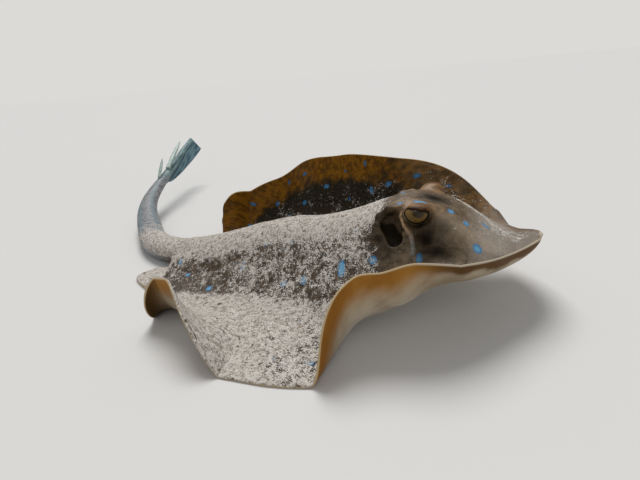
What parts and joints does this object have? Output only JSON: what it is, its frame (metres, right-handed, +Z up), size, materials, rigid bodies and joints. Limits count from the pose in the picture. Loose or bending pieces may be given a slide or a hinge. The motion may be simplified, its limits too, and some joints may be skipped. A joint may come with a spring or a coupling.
{
  "type": "stingray",
  "caption": "Life-size bluespotted ribbontail ray lying on its belly, head and far fin lifted, near fin folded under, tail curving aside to its stings.",
  "frame": {"origin": "under the middle of the flat that the belly rests on, at floor level", "axes": "+X from the tail's root towards the snout, +Y to the animal's left, +Z up out of its back"},
  "size_m": [0.528, 0.4597, 0.0888],
  "materials": {
    "skin": "satin",
    "fin_skin": "satin",
    "tail_skin": "satin",
    "sting": "satin",
    "eye": "wet gloss"
  },
  "bodies": {
    "root": {"head": "skin", "trunk": "skin", "snout": "skin", "pectoral_fin_left": "fin_skin", "pectoral_fin_right": "fin_skin", "pelvic_fin_left": "fin_skin", "pelvic_fin_right": "fin_skin", "tail_base": "tail_skin", "tail_mid": "tail_skin", "tail_tip": "tail_skin", "tail_fold": "tail_skin", "sting_long": "sting", "sting_short": "sting", "eye_left": "eye", "eye_right": "eye"}
  },
  "joints": []
}
